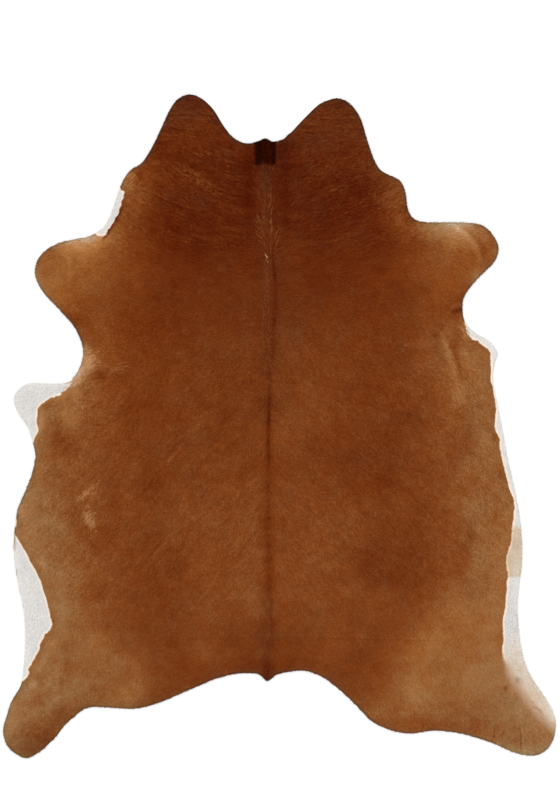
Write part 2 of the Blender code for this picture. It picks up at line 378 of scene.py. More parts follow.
relief = {
    "rimHeight": 0.0022, "bellyHeight": 0.0042,   # top of the coat at the rim and in from it
    "rimTaper": 0.022,                            # over this distance from the outline it rounds off
    "pile": 0.0020, "rimPile": 0.0009,            # depth of the lying hair, in from the rim and at it
    # places ahead of the neck that they circle, their length and width, size of the bunches they come in
    # and their usual strength, where they begin, and from where to where they fade in beside the spine;
    # their height, and the tone of the painted highlight and shade that go with it, lighter where they rise
    "wrinkles": {
        "middles": (2.25, 3.60), "size": (0.045, 0.0055), "bunches": 0.060, "usual": 0.7,
        "neck": (1.38, 1.55), "lobes": (1.76, 1.88), "out": (0.02, 0.10), "height": 0.00030, "tone": 0.032,
    },
    # low swells, as rows for patchSum
    "swells": (
        (0, 900, 300, 1000, 0.7), (0, 900, 18, 900, 0.5), (0, 1700, 260, 240, 0.6),
        (-240, 1880, 80, 100, 0.4), (240, 1870, 80, 100, 0.4), (-590, 1060, 60, 90, -0.5),
        (610, 1230, 60, 100, -0.5), (-700, -130, 90, 100, 0.3), (850, -170, 100, 80, 0.3),
        (-520, 420, 160, 260, -0.3), (560, 420, 160, 260, -0.3),
    ),
    # from out, fore to out, fore, sag of the line, half width, height, extra tone: painted shade where the
    # line sinks, painted highlight where it rises
    "creases": (
        (-440, 1680, -357, 1646, 4, 3.5, 0.4, 26), (-380, 1652, -225, 1594, -6, 3.2, -0.9, -60),
        (-345, 1923, -190, 1922, 4, 3.5, -0.7, -60), (-333, 1918, -265, 1916, 1, 3, 0.3, 35),
        (-377, 1829, -309, 1841, 0, 3.5, -0.5, -40), (-330, 1955, -230, 1948, -4, 4, -0.6, -20),
        (-258, 1727, -170, 1668, -3, 4, -0.8, -20), (-357, 1527, -210, 1494, -8, 4, -0.7, -20),
        (-420, 1597, -384, 1562, -2, 4, -0.6, -20), (134, 1708, 185, 1741, -2, 4, -0.7, -20),
        (214, 1659, 262, 1690, -2, 4, -0.8, -30), (304, 1624, 346, 1648, -2, 4, -0.7, -20),
        (272, 1508, 340, 1526, -3, 4, -0.6, -20), (140, 1916, 287, 1914, -5, 4, -0.7, -30),
        (170, 1890, 310, 1880, -5, 4, -0.5, -20), (625, 1258, 672, 1268, 2, 9, -1, -90),
        (552, 1172, 625, 1250, -4, 12, -0.6, -15), (592, 1170, 650, 1012, 0, 10, 0.3, 34),
        (625, 1552, 722, 1428, 18, 10, 0.4, 52), (-681, 1470, -675, 1345, 6, 10, 0.2, 26),
        (480, 624, 574, 528, 8, 3.5, 0.2, 30), (55, 153, 585, 139, 0, 2.8, -0.3, -30),
        (-275, 146, -20, 153, 0, 2.8, -0.2, -20), (-343, 743, -289, 811, 0, 7, 0.3, 45),
        (-401, 403, -343, 481, 2, 6, 0.3, 38), (-653, 961, -558, 947, 2, 3, -0.5, -40),
        (-680, 988, -578, 1036, 3, 4, -0.6, -40), (-640, 1010, -540, 1020, 2, 3, -0.4, -30),
        (770, -152, 765, -188, 1, 3, -0.8, -80), (-495, 1612, -561, 1503, -1, 4.5, -0.5, -190),
        (857, -155, 860, -232, 1, 3, -0.8, -80),
    ),
    "creaseEnds": ((-0.12, 0.12), (0.88, 1.12)),   # shares of its length over which a crease begins and ends
    # the low ridge beside it: its offset in half widths, and its share of the height and of the painted shade
    # and highlight
    "creaseRidge": (1.6, 0.8, 0.7),
}


def creases(points):
    # Each crease is a soft trough along a slightly bowed line: depth times exp(-(offset / half width)^2),
    # fading out at both ends, with a low ridge on its neck side. Returns the height and the tone, which is
    # painted shade where the skin sinks and painted highlight where it rises.
    height, tone = np.zeros(len(points)), np.zeros(len(points))
    offset, ridgeHeight, ridgeTone = relief["creaseRidge"]
    for row in relief["creases"]:
        out1, fore1, out2, fore2, sag, halfWidth, depth, paintedShading = (number / 1000.0 for number in row)
        start, run = np.array((out1, fore1)), np.array((out2 - out1, fore2 - fore1))
        length = np.linalg.norm(run)
        along = ((points - start) @ run) / length ** 2
        aside = ((points - start) @ np.array((-run[1], run[0]))) / length * (1.0 if run[0] > 0.0 else -1.0)
        aside = aside - sag * 4.0 * along * (1.0 - along)
        ends = softSpan(*relief["creaseEnds"], along)
        trough = np.exp(-(aside / halfWidth) ** 2) * ends
        ridge = np.exp(-(aside / halfWidth - offset) ** 2) * ends
        height += depth * (trough - ridgeHeight * ridge)
        # painted shade and highlight: darker where the skin sinks, lighter where it rises
        tone += paintedShading * (trough - ridgeTone * ridge)
    return height, tone


def wrinkles(points):
    # Fine wrinkles across the neck: noise stretched along circles about a place ahead of the neck, a near
    # one for the shoulders and a far one for the lobes. They come and go with a broader noise.
    amount, total = relief["wrinkles"], np.zeros(len(points))
    lobes = smoothStep(*amount["lobes"], points[:, 1])
    for number, (middle, share) in enumerate(zip(amount["middles"], (1.0 - lobes, lobes))):
        reach = points - (0.0, middle)
        radius = np.linalg.norm(reach, axis=1)
        around = np.arctan2(reach[:, 0], -reach[:, 1]) * radius
        total += share * softNoise(np.stack([around, radius], axis=1), amount["size"], 11 + number)
    total *= amount["usual"] + amount["usual"] * softNoise(points, amount["bunches"], 15)
    beside = smoothStep(*amount["out"], np.abs(points[:, 0]))
    return total * smoothStep(*amount["neck"], points[:, 1]) * beside


def coatHeight(points):
    # Top of the coat: full height away from the edge, rounded off to the rim, with the swells.
    depth = np.clip(readMap(edgeMap, points) / relief["rimTaper"], 0.0, 1.0)
    roundOff = np.sqrt(1.0 - (1.0 - depth) ** 2)
    full = relief["bellyHeight"] + patchSum(points, relief["swells"])
    folds = creases(points)[0] + relief["wrinkles"]["height"] * wrinkles(points)
    return relief["rimHeight"] + (full + folds - relief["rimHeight"]) * roundOff


def pileDepth(points):
    # Depth of the lying hair: it grows evenly from the rim's to the full one.
    depth = np.clip(readMap(edgeMap, points) / relief["rimTaper"], 0.0, 1.0)
    return relief["rimPile"] + (relief["pile"] - relief["rimPile"]) * depth


# How light the coat is, from 0 for black to 1

coatTone = {
    # fore, tone beside the spine
    "alongBack": (
        (-0.25, 0.530), (0.00, 0.470), (0.14, 0.465), (0.34, 0.512), (0.55, 0.505), (0.75, 0.480),
        (0.95, 0.462), (1.16, 0.452), (1.33, 0.418), (1.47, 0.388), (1.56, 0.360), (1.66, 0.346),
        (1.75, 0.352), (1.85, 0.392), (2.00, 0.378),
    ),
    # half width where the belly starts and ends, and how much lighter it is
    "belly": (0.36, 0.72, 0.120),
    # lighter places above 0 and darker ones below it, as rows for patchSum, by the part of the hide
    "patches": {
        "neck": (
            (270, 1980, 50, 18, -20), (262, 1977, 50, 20, -25), (-300, 1975, 50, 20, -26),
            (-207, 1920, 25, 25, 20), (-340, 1916, 48, 80, -32), (82, 1842, 50, 30, -30),
            (48, 1820, 30, 50, -50), (44, 1795, 18, 45, -60), (-66, 1790, 20, 50, -30),
            (279, 1756, 90, 55, 26), (-120, 1750, 120, 50, -20), (-420, 1740, 60, 50, 40),
            (-10, 1735, 24, 28, -45), (-486, 1733, 20, 30, 50), (-430, 1726, 12, 30, -45, -25),
            (395, 1722, 20, 55, 30, 57), (-462, 1714, 14, 18, 45, -40), (-333, 1705, 80, 60, 22),
            (-473, 1702, 18, 24, 80), (-265, 1700, 120, 60, 35), (-62, 1690, 22, 60, -20),
            (62, 1690, 24, 70, -24), (-476, 1671, 85, 120, 165), (-435, 1671, 22, 30, -30),
            (415, 1670, 65, 100, 130), (385, 1670, 40, 80, -25), (415, 1670, 20, 30, -20),
            (62, 1660, 12, 140, -25), (455, 1650, 16, 60, 45), (-62, 1640, 20, 130, -25),
            (150, 1640, 40, 40, 10), (-390, 1640, 30, 80, 20), (-5, 1635, 20, 30, 20),
            (-68, 1630, 22, 35, -20),
        ),
        # the lighter rows along the tops of the forelegs are painted highlights, where those edges face the
        # light
        "forelegs": (
            (-450, 1590, 50, 30, 14), (447, 1564, 20, 20, 50), (650, 1563, 70, 12, 50),
            (490, 1562, 20, 15, -30), (620, 1560, 50, 10, 35), (665, 1556, 70, 13, 55),
            (540, 1550, 110, 45, 110), (-12, 1550, 18, 35, 25), (653, 1545, 80, 30, 110),
            (520, 1540, 60, 30, 50), (-552, 1535, 14, 18, -40), (58, 1530, 15, 30, -22),
            (-547, 1529, 15, 18, -50), (-650, 1515, 90, 30, 80), (620, 1515, 20, 20, -20),
            (650, 1510, 75, 45, 120), (-582, 1509, 18, 10, 60, -10), (-639, 1503, 14, 70, 55, -73),
            (-571, 1501, 90, 55, 150), (432, 1490, 50, 30, 24), (-231, 1485, 130, 55, -25),
            (-670, 1480, 90, 40, 80), (740, 1480, 30, 50, 50), (732, 1476, 10, 30, -40, 28),
            (776, 1475, 14, 45, 35), (-653, 1474, 35, 18, 35, 10), (-545, 1470, 30, 30, -34),
            (600, 1430, 140, 80, 40), (500, 1430, 100, 50, 30), (-435, 1427, 80, 110, 55),
            (550, 1426, 35, 15, -28), (-605, 1406, 120, 80, 60), (-700, 1400, 90, 70, 35),
            (190, 1400, 50, 50, 18), (-622, 1393, 30, 22, -40), (-780, 1390, 15, 30, 30),
            (-735, 1390, 35, 30, -35), (-788, 1385, 10, 35, 40), (707, 1379, 18, 22, 52),
            (500, 1370, 60, 30, 22), (-760, 1365, 60, 70, 50), (109, 1365, 30, 30, 18),
            (646, 1310, 12, 40, 30), (390, 1300, 30, 35, 22), (-700, 1300, 30, 20, 20),
            (655, 1290, 30, 60, -75),
        ),
        "sides": (     # belly and armpits; its lighter rows on the left belly fold, the armpits and the right side are painted highlights
            (-656, 1264, 18, 20, 26), (-656, 1263, 20, 25, 28), (578, 1245, 25, 35, -28),
            (-670, 1220, 30, 60, -80, -30), (-610, 1185, 35, 25, -32), (680, 1178, 14, 22, 35),
            (571, 1178, 7, 7, -70), (640, 1160, 20, 50, -22), (-640, 1160, 12, 22, -40),
            (-618, 1127, 14, 16, 75), (612, 1125, 12, 70, 45, 12), (673, 1110, 12, 50, 30, 12),
            (640, 1110, 8, 50, -30, 12), (-635, 1100, 14, 40, 60, -20), (-606, 1092, 20, 22, 40),
            (-580, 1070, 26, 9, 45, 15), (-570, 1053, 28, 20, -50), (-640, 1050, 24, 80, 110, -40),
            (-642, 1046, 18, 46, 75, -40), (-562, 1034, 26, 9, -35), (670, 1020, 20, 30, -20),
            (-662, 1018, 22, 42, 85, -45), (-690, 990, 30, 20, 30, 20), (650, 985, 20, 32, 50, 15),
            (-650, 985, 20, 15, 40), (-700, 968, 30, 12, 45, 25), (-652, 968, 20, 18, 55),
            (-745, 962, 24, 12, 80, 20), (-700, 930, 30, 40, 35), (-672, 900, 30, 35, 45),
            (-772, 900, 11, 60, 60), (-772, 893, 10, 40, 50), (784, 880, 10, 30, 35),
            (-790, 860, 10, 30, 60), (653, 855, 40, 80, -40), (-790, 855, 12, 30, 50),
            (-735, 855, 30, 22, 28), (-724, 849, 20, 45, -50), (770, 832, 9, 14, -60),
            (685, 830, 22, 60, -30), (-700, 820, 50, 60, -50), (550, 810, 30, 25, -26),
            (-570, 755, 30, 40, 22), (789, 699, 9, 14, -50),
        ),
        "back": (
            (450, 1060, 60, 60, -30), (250, 1050, 70, 40, 22), (-250, 980, 80, 80, 18),
            (140, 950, 60, 130, 20), (-450, 920, 120, 50, -18), (500, 900, 80, 100, -35),
            (250, 900, 50, 50, 12), (20, 890, 25, 35, -18), (390, 840, 50, 30, -26),
            (280, 750, 110, 100, -40), (-190, 700, 90, 40, -25), (380, 685, 40, 30, -18),
            (-400, 650, 60, 60, -20), (250, 650, 60, 50, -20), (535, 447, 25, 25, -20),
            (-300, 430, 30, 80, -28), (250, 430, 50, 30, -20), (360, 420, 80, 100, -45),
            (-370, 380, 120, 120, -45), (150, 380, 6, 30, -30, -20), (517, 362, 120, 70, -55),
            (245, 350, 60, 25, -42), (420, 340, 60, 30, -26), (510, 280, 40, 20, -26),
            (-40, 260, 50, 40, 34), (170, 260, 30, 20, 26), (-30, 226, 50, 20, 30), (-180, 210, 60, 30, 22),
        ),
        "flanks": (    # and thighs
            (-588, 640, 30, 45, 45), (-590, 635, 30, 40, 26), (640, 620, 90, 35, 42),
            (-843, 590, 14, 14, 35), (770, 580, 50, 120, -25), (-598, 563, 14, 14, 50),
            (585, 560, 190, 260, -90), (-622, 549, 150, 300, -90), (685, 492, 15, 50, -55, -18),
            (670, 413, 50, 100, -40), (620, 410, 30, 40, 18), (-760, 400, 20, 30, 20),
            (-764, 393, 13, 28, 55, 15), (730, 330, 50, 60, -30), (-570, 300, 45, 45, -40),
            (-700, 240, 30, 100, 36),
        ),
        "rump": (      # and hind legs
            (210, 170, 60, 70, 25), (550, 140, 60, 50, 30), (-600, 140, 60, 50, 30),
            (-560, 140, 40, 40, 35), (-330, 140, 25, 40, -18), (-724, 140, 22, 22, 38),
            (-230, 130, 80, 60, 30), (550, 130, 100, 80, 26), (-738, 128, 14, 16, 45),
            (735, 125, 30, 30, 34), (-683, 118, 14, 20, -35), (240, 110, 40, 30, 24),
            (-220, 90, 70, 30, 22), (-570, 90, 50, 25, 28), (-235, 90, 20, 15, -25),
            (-764, 73, 13, 28, 50, -20), (-690, 60, 40, 50, -30), (-790, 60, 20, 25, 28),
            (800, 60, 25, 70, 30), (0, 50, 120, 30, -40), (-452, 40, 90, 80, 70), (483, 40, 100, 110, 75),
            (-790, 35, 20, 20, 30), (846, 9, 6, 9, -200), (-740, 0, 12, 34, 40, -35),
            (-789, -6, 14, 14, 45), (-800, -10, 20, 16, 30), (-797, -18, 12, 12, 40),
            (-450, -20, 50, 40, 25), (808, -22, 6, 8, -120), (-592, -22, 20, 18, -35),
            (620, -30, 40, 25, -18), (-435, -30, 40, 25, 24), (825, -30, 20, 30, 40),
            (-755, -30, 20, 20, -30), (-460, -35, 18, 15, -25), (500, -40, 70, 50, 36),
            (-470, -50, 60, 40, 40), (400, -60, 80, 50, 35), (-775, -66, 18, 18, -45),
            (500, -70, 40, 60, 22), (-721, -70, 14, 30, 30, -40), (700, -90, 100, 50, -45),
            (-605, -90, 40, 18, -30), (380, -100, 50, 30, 36), (462, -112, 20, 12, 45),
            (-670, -120, 80, 55, -100), (380, -120, 30, 20, 40), (-735, -165, 28, 60, -45, -40),
            (650, -170, 160, 55, -90), (800, -175, 5, 14, -60, -30), (-790, -200, 100, 65, -120),
            (860, -200, 90, 60, -50), (-730, -200, 50, 30, -50), (856, -200, 35, 20, -35),
            (-830, -235, 50, 20, -30), (-800, -240, 70, 30, -50),
        ),
    },
    # strokes along the lie of the hair on the back: length and width, turn on the right side, and the fades
    # at the rear and front end of the stretch
    "streaks": {"tone": 0.014, "size": (0.034, 0.0075), "turn": -47.0, "span": ((0.1, 0.35), (1.0, 1.25))},
    # mottled places on the hind legs, and the size of the spots
    "mottled": {
        "size": 0.0130,
        "places": (
            (-740, -30, 90, 120, 24), (-800, -180, 60, 60, 16), (800, -150, 120, 70, 14),
            (560, -60, 90, 70, 10),
        ),
    },
    # amount and size of the soft clouds
    "clouds": ((0.012, 0.080), (0.010, 0.048), (0.013, 0.026), (0.009, 0.013)),
}

spineLine = {
    # the broad band, then the narrow groove: fore, out of its middle, half width, extra tone
    "band": (
        (-10, 0, 18, -130), (50, 0, 20, -90), (90, -4, 28, -50), (140, -4, 30, -50), (190, -1, 27, -42),
        (290, 1, 22, -66), (400, 3, 20, -66), (500, 2, 20, -62), (600, 1, 20, -55), (700, 1, 17, -42),
        (800, 2, 11, -60), (900, 2, 12, -60), (955, 1, 15, -75), (1000, -1, 18, -55), (1040, 0, 24, -48),
        (1080, 4, 28, -50), (1120, 8, 26, -58), (1160, 10, 26, -58), (1240, 4, 30, -50), (1300, 6, 30, -36),
        (1360, 12, 22, -22), (1410, 10, 16, -10), (1450, 6, 10, 0),
    ),
    "groove": (
        (100, 12, 4, 0), (190, 12.5, 5, -25), (300, 8, 5, -20), (460, 4, 4, -15), (600, 2, 4, -15),
        (740, 2, 4, -20), (800, 3.5, 5, -50), (900, 3.5, 5, -50), (980, 3.5, 6, -40), (1040, 6, 4, -30),
        (1080, 8, 4, -15), (1120, 16, 5, -18), (1160, 18, 5, -20), (1200, 20, 6, -22), (1240, 22.5, 6, -40),
        (1280, 26, 7, -35), (1325, 26, 7, -45), (1365, 24.5, 6, -55), (1406, 21.5, 7, -70),
        (1447, 10.5, 5, -50), (1470, 6, 4, 0),
    ),
    "waver": (0.0022, 0.020),           # how far both wander, and over what length
    "broken": (0.32, (0.006, 0.022)),   # by how much the tone is broken up, and the width and length of that
    # dull hair along it, as rows for patchSum, with its extra tint
    "dull": (
        (-4, 1210, 20, 130, 250), (-6, 1400, 16, 60, 200), (-2, 1030, 20, 80, 200), (-12, 110, 34, 80, 300),
        (0, 240, 20, 60, 150), (-6, 1560, 16, 80, 250),
    ),
}


def spineBand(points):
    # Tone and tint of the dark band down the spine and of the groove in it. Each is
    # exp(-(offset / half width)^2) about its own wandering middle, broken up by noise.
    along = np.stack([np.zeros(len(points)), points[:, 1]], axis=1)
    distance, length = spineLine["waver"]
    share, size = spineLine["broken"]
    total = np.zeros(len(points))
    for name, seed in (("band", 33), ("groove", 34)):
        fore, out, halfWidth, tone = np.array(spineLine[name]).T / 1000.0
        off = points[:, 0] - np.interp(points[:, 1], fore, out) - distance * softNoise(along, length, seed)
        depth = np.exp(-(off / np.interp(points[:, 1], fore, halfWidth)) ** 2)
        broken = 1.0 + share * softNoise(points, size, seed + 2)
        total += np.interp(points[:, 1], fore, tone) * depth * broken
    return total, patchSum(points, spineLine["dull"])


crest = {
    # the dark block of hair at the neck's edge: its sides and rear end, and how gradually each ends
    "left": -0.0380, "right": 0.0245, "rear": 1.7560,
    "leftFade": (-0.014, 0.003), "rightFade": (-0.002, 0.005), "rearFade": (-0.003, 0.003),
    "jag": (0.006, (0.005, 0.030)),       # how ragged its rear end is, and the width and length of that
    "tone": 0.160, "tint": 0.3,           # of the block
    "strands": (0.03, (0.004, 0.060)),    # amount, width and length of the strands in it
    "sides": (0.04, (0.3, 0.8)),          # how much darker its sides are, and where between middle and side
    # the strip of hair behind it, by where its four sides fade
    "strip": {"left": (-0.046, -0.034), "right": (0.008, 0.020), "rear": (1.57, 1.63), "front": (1.73, 1.76),
              "tone": 0.015},
}


def crestBlock(points):
    # 1 in the dark block of hair at the neck's edge, fading out at its sides, with a ragged rear end.
    amount, size = crest["jag"]
    ragged = points[:, 1] + amount * softNoise(points, size, 31)
    left, right, rear = (np.add(crest[side], crest[side + "Fade"]) for side in ("left", "right", "rear"))
    return softSpan(left, right, points[:, 0]) * smoothStep(*rear, ragged)


def toneAt(points):
    # Base tone along the back, lighter towards the belly, plus patches, clouds, the painted shade and
    # highlight of creases and wrinkles, and the spine line.
    # The strip and the dark block of the crest come last, and the block takes the place of the rest.
    out, fore = points.T
    total = np.interp(fore, *np.array(coatTone["alongBack"]).T)
    start, end, gain = coatTone["belly"]
    total += gain * smoothStep(start, end, np.abs(out))
    total += patchSum(points, itertools.chain(*coatTone["patches"].values()))
    for number, (amount, size) in enumerate(coatTone["clouds"]):
        total += amount * softNoise(points, size, 21 + number)
    # painted shade and highlight of the creases and wrinkles: darker where the skin sinks, lighter where it
    # rises
    total += creases(points)[1] + relief["wrinkles"]["tone"] * wrinkles(points)
    total += spineBand(points)[0]
    mottled, streaks, strip = coatTone["mottled"], coatTone["streaks"], crest["strip"]
    total += patchSum(points, mottled["places"]) * softNoise(points, mottled["size"], 27)
    laid = turned(np.column_stack([np.abs(out), fore]), -streaks["turn"])
    total += streaks["tone"] * softSpan(*streaks["span"], fore) * softNoise(laid, streaks["size"], 29)
    inStrip = softSpan(strip["left"], strip["right"], out) * softSpan(strip["rear"], strip["front"], fore)
    total += strip["tone"] * inStrip

    block = crestBlock(points)
    left, right = crest["left"], crest["right"]
    aside = np.abs(2.0 * out - left - right) / (right - left)
    amount, size = crest["strands"]
    darker, sides = crest["sides"]
    blockTone = crest["tone"] + amount * softNoise(points, size, 32) - darker * smoothStep(*sides, aside)
    return total * (1.0 - block) + blockTone * block


# Materials

coatColours = {
    # tone or tint, colour as it shows on screen
    "brown": (
        (0.10, (26, 4, 1)), (0.18, (46, 9, 2)), (0.33, (84, 26, 5)), (0.40, (102, 42, 12)),
        (0.47, (120, 58, 21)), (0.53, (135, 74, 32)), (0.60, (153, 101, 56)), (0.70, (178, 127, 83)),
        (0.85, (217, 180, 145)),
    ),
    "white": ((0.0, (220, 217, 213)), (0.5, (212, 199, 183)), (1.0, (203, 180, 152))),
    "red": (1.03, 0.88, 0.62),        # brown hair's colour is multiplied by this at tint 0
    "grey": (0.96, 1.10, 1.30),       # and by this at tint 1
    "dust": (0.0, 0.0062, 0.0040),    # and this is added there, so that dark hair gets dull as well
    "light": 0.82,                    # the light that falls on the hide, which the colours are divided by
    "flecks": 260.0,                  # how fine the flecks inside a hair are
}
hairLook = {"roughness": 0.6, "specular": 0.02, "fleck": 0.08, "rootShade": 0.8, "bump": 0.1, "depth": 0.0006}
skinLook = {**hairLook, "roughness": 0.75, "rootShade": 0.7, "bump": 0.5}
# the nap: value of the noise, and brightness there
suedeLook = {"roughness": 0.9, "specular": 0.1, "colour": (176, 150, 120), "nap": ((0.3, 0.9), (0.7, 1.05)),
             "grain": 900.0, "depth": 0.0003}


def fromScreen(colour, light):
    # Screen value to linear value, by the display's own curve, then to the share of light sent back.
    c = np.array(colour) / 255.0
    linear = np.where(c <= 0.04045, c / 12.92, ((c + 0.055) / 1.055) ** 2.4)
    return (*(linear / light), 1.0)


def fillRamp(ramp, rows):
    # Rows are place and screen colour. A new ramp has two stops, and the rest are added.
    while len(ramp.elements) < len(rows):
        ramp.elements.new(0.5)
    for element, (place, colour) in zip(ramp.elements, rows):
        element.position = place
        element.color = fromScreen(colour, coatColours["light"])


def addNode(tree, kind, links=None, values=None, **settings):
    # A shader node: its settings, the values of its inputs, and links from the outputs of other nodes.
    node = tree.nodes.new("ShaderNode" + kind)
    for name, value in settings.items():
        setattr(node, name, value)
    for socket, value in (values or {}).items():
        node.inputs[socket].default_value = value
    for socket, (source, output) in (links or {}).items():
        tree.links.new(source.outputs[output], node.inputs[socket])
    return node


def newMaterial(name, look):
    # A material with its own Principled BSDF.
    material = bpy.data.materials.new(name)
    material.use_nodes = True
    surface = material.node_tree.nodes["Principled BSDF"]
    surface.inputs["Roughness"].default_value = look["roughness"]
    surface.inputs["Specular IOR Level"].default_value = look["specular"]
    return material, surface


def coatGroup():
    # Colour of hair and skin. Tone is how light it is, White picks the white ramp, Tint shifts either colour,
    # and Along goes from 0 at a hair's root to 1 at its tip.
    tree = bpy.data.node_groups.new("coatColour", "ShaderNodeTree")
    face = tree.interface
    for name, start in (("Tone", 0.5), ("White", 0.0), ("Tint", 0.5), ("Along", 1.0), ("Fleck", 0.05),
                        ("Root Shade", 0.75)):
        face.new_socket(name, in_out="INPUT", socket_type="NodeSocketFloat").default_value = start
    face.new_socket("Color", in_out="OUTPUT", socket_type="NodeSocketColor")
    face.new_socket("Fleck Height", in_out="OUTPUT", socket_type="NodeSocketFloat")
    into, out = tree.nodes.new("NodeGroupInput"), tree.nodes.new("NodeGroupOutput")

    # the tone with its flecks: (noise - 0.5) * Fleck + Tone
    place = addNode(tree, "TexCoord")
    grain = {"Scale": coatColours["flecks"], "Detail": 2.0}
    fleck = addNode(tree, "TexNoise", {"Vector": (place, "Object")}, grain)
    centred = addNode(tree, "Math", {0: (fleck, "Fac")}, {1: 0.5}, operation="SUBTRACT")
    fleckTone = {0: (centred, 0), 1: (into, "Fleck"), 2: (into, "Tone")}
    tone = addNode(tree, "Math", fleckTone, operation="MULTIPLY_ADD")

    # brown hair: the ramp's colour times red or grey, with dust added from the middle of the tint on
    brown = addNode(tree, "ValToRGB", {"Fac": (tone, 0)})
    fillRamp(brown.color_ramp, coatColours["brown"])
    ends = {"A": (*coatColours["red"], 1.0), "B": (*coatColours["grey"], 1.0)}
    shift = addNode(tree, "Mix", {"Factor": (into, "Tint")}, ends, data_type="RGBA", clamp_factor=False)
    tinted = addNode(tree, "Mix", {"A": (brown, "Color"), "B": (shift, "Result")}, {"Factor": 1.0},
                     data_type="RGBA", blend_type="MULTIPLY")
    dull = addNode(tree, "MapRange", {"Value": (into, "Tint")}, {"From Min": 0.5})
    added = {0: coatColours["dust"]}
    dust = addNode(tree, "VectorMath", {"Scale": (dull, "Result")}, added, operation="SCALE")
    dusty = addNode(tree, "VectorMath", {0: (tinted, "Result"), 1: (dust, "Vector")})

    # white hair: the ramp's colour times twice the tone
    white = addNode(tree, "ValToRGB", {"Fac": (into, "Tint")})
    fillRamp(white.color_ramp, coatColours["white"])
    twice = addNode(tree, "Math", {0: (tone, 0)}, {1: 2.0}, operation="MULTIPLY")
    lit = addNode(tree, "VectorMath", {0: (white, "Color"), "Scale": (twice, 0)}, operation="SCALE")

    # one or the other, darker towards the root: painted shade under the hair that lies over it
    either = {"Factor": (into, "White"), "A": (dusty, "Vector"), "B": (lit, "Vector")}
    coat = addNode(tree, "Mix", either, data_type="RGBA")
    shade = addNode(tree, "MapRange", {"Value": (into, "Along"), "To Min": (into, "Root Shade")})
    dim = addNode(tree, "VectorMath", {0: (coat, "Result"), "Scale": (shade, "Result")}, operation="SCALE")
    tree.links.new(dim.outputs["Vector"], out.inputs["Color"])
    tree.links.new(fleck.outputs["Fac"], out.inputs["Fleck Height"])
    return tree


def coatMaterial(name, group, look):
    # Hair or skin. The attribute "coat" holds tone, white and tint as its colour, and along as its alpha.
    material, surface = newMaterial(name, look)
    tree = material.node_tree
    coat = addNode(tree, "Attribute", attribute_name="coat")
    values = addNode(tree, "SeparateColor", {"Color": (coat, "Color")})
    read = {"Tone": (values, "Red"), "White": (values, "Green"), "Tint": (values, "Blue")}
    read["Along"] = (coat, "Alpha")
    shares = {"Fleck": look["fleck"], "Root Shade": look["rootShade"]}
    colour = addNode(tree, "Group", read, shares, node_tree=group)
    depth = {"Strength": look["bump"], "Distance": look["depth"]}
    bump = addNode(tree, "Bump", {"Height": (colour, "Fleck Height")}, depth)
    tree.links.new(colour.outputs["Color"], surface.inputs["Base Color"])
    tree.links.new(bump.outputs["Normal"], surface.inputs["Normal"])
    return material


def suedeMaterial():
    # Raw flesh side of the skin, seen only at the cut rim and from below.
    material, surface = newMaterial("suede", suedeLook)
    tree = material.node_tree
    place = addNode(tree, "TexCoord")
    nap = addNode(tree, "TexNoise", {"Vector": (place, "Object")}, {"Scale": suedeLook["grain"]})
    ramp = addNode(tree, "ValToRGB", {"Fac": (nap, "Fac")})
    base = np.array(suedeLook["colour"])
    fillRamp(ramp.color_ramp, [(fac, base * share) for fac, share in suedeLook["nap"]])
    bump = addNode(tree, "Bump", {"Height": (nap, "Fac")}, {"Distance": suedeLook["depth"]})
    tree.links.new(ramp.outputs["Color"], surface.inputs["Base Color"])
    tree.links.new(bump.outputs["Normal"], surface.inputs["Normal"])
    return material


# Meshes

def bakePlace(places):
    # Plan view of the hide, fitted to the unit square with a clear border.
    low, size, margin = edge.min(axis=0), np.ptp(edge, axis=0).max(), hide["bakeMargin"]
    return margin + (1.0 - 2.0 * margin) * (places - low) / size


def makePiece(name, places, triangles, materials, coat, uv, slots=None):
    # places are (out, fore, height); the frame's own place is added here.
    mesh = bpy.data.meshes.new(name)
    mesh.vertices.add(len(places))
    world = places + (hide["spineX"], hide["tailY"], 0.0)
    mesh.vertices.foreach_set("co", world.astype(np.float32).ravel())
    mesh.loops.add(triangles.size)
    mesh.loops.foreach_set("vertex_index", triangles.ravel().astype(np.int32))
    mesh.polygons.add(len(triangles))
    mesh.polygons.foreach_set("loop_start", np.arange(0, triangles.size, 3, dtype=np.int32))
    mesh.polygons.foreach_set("use_smooth", np.ones(len(triangles), bool))
    if slots is not None:
        mesh.polygons.foreach_set("material_index", slots.astype(np.int32))
    mesh.update(calc_edges=True)
    mesh.validate()
    for material in materials:
        mesh.materials.append(material)
    values = mesh.attributes.new("coat", "FLOAT_COLOR", "POINT")
    values.data.foreach_set("color", coat.astype(np.float32).ravel())
    layer = mesh.uv_layers.new(name="OFBake")
    layer.data.foreach_set("uv", uv[triangles.ravel()].astype(np.float32).ravel())
    piece = bpy.data.objects.new(name, mesh)
    bpy.context.scene.collection.objects.link(piece)
    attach(piece, "root")
    print(name + ":", len(triangles), "triangles")
    return piece


def insetLoop(loop, distance):
    # Each point moves inwards, to the right of the way the loop runs.
    along = np.roll(loop, -1, axis=0) - np.roll(loop, 1, axis=0)
    along = along / np.linalg.norm(along, axis=1, keepdims=True)
    return loop + distance * np.stack([along[:, 1], -along[:, 0]], axis=1)


def netPoints(step, clear):
    # Rows of evenly spread points, every other row shifted by half a step, that lie clear of the edge.
    low, high = edge.min(axis=0), edge.max(axis=0)
    rows = np.arange(low[1], high[1], step * math.sqrt(0.75))
    x, y = np.meshgrid(np.arange(low[0], high[0], step), rows)
    x = x + (np.arange(len(rows)) % 2)[:, None] * step / 2.0
    points = np.stack([x.ravel(), y.ravel()], axis=1)
    return points[readMap(edgeMap, points) > clear]


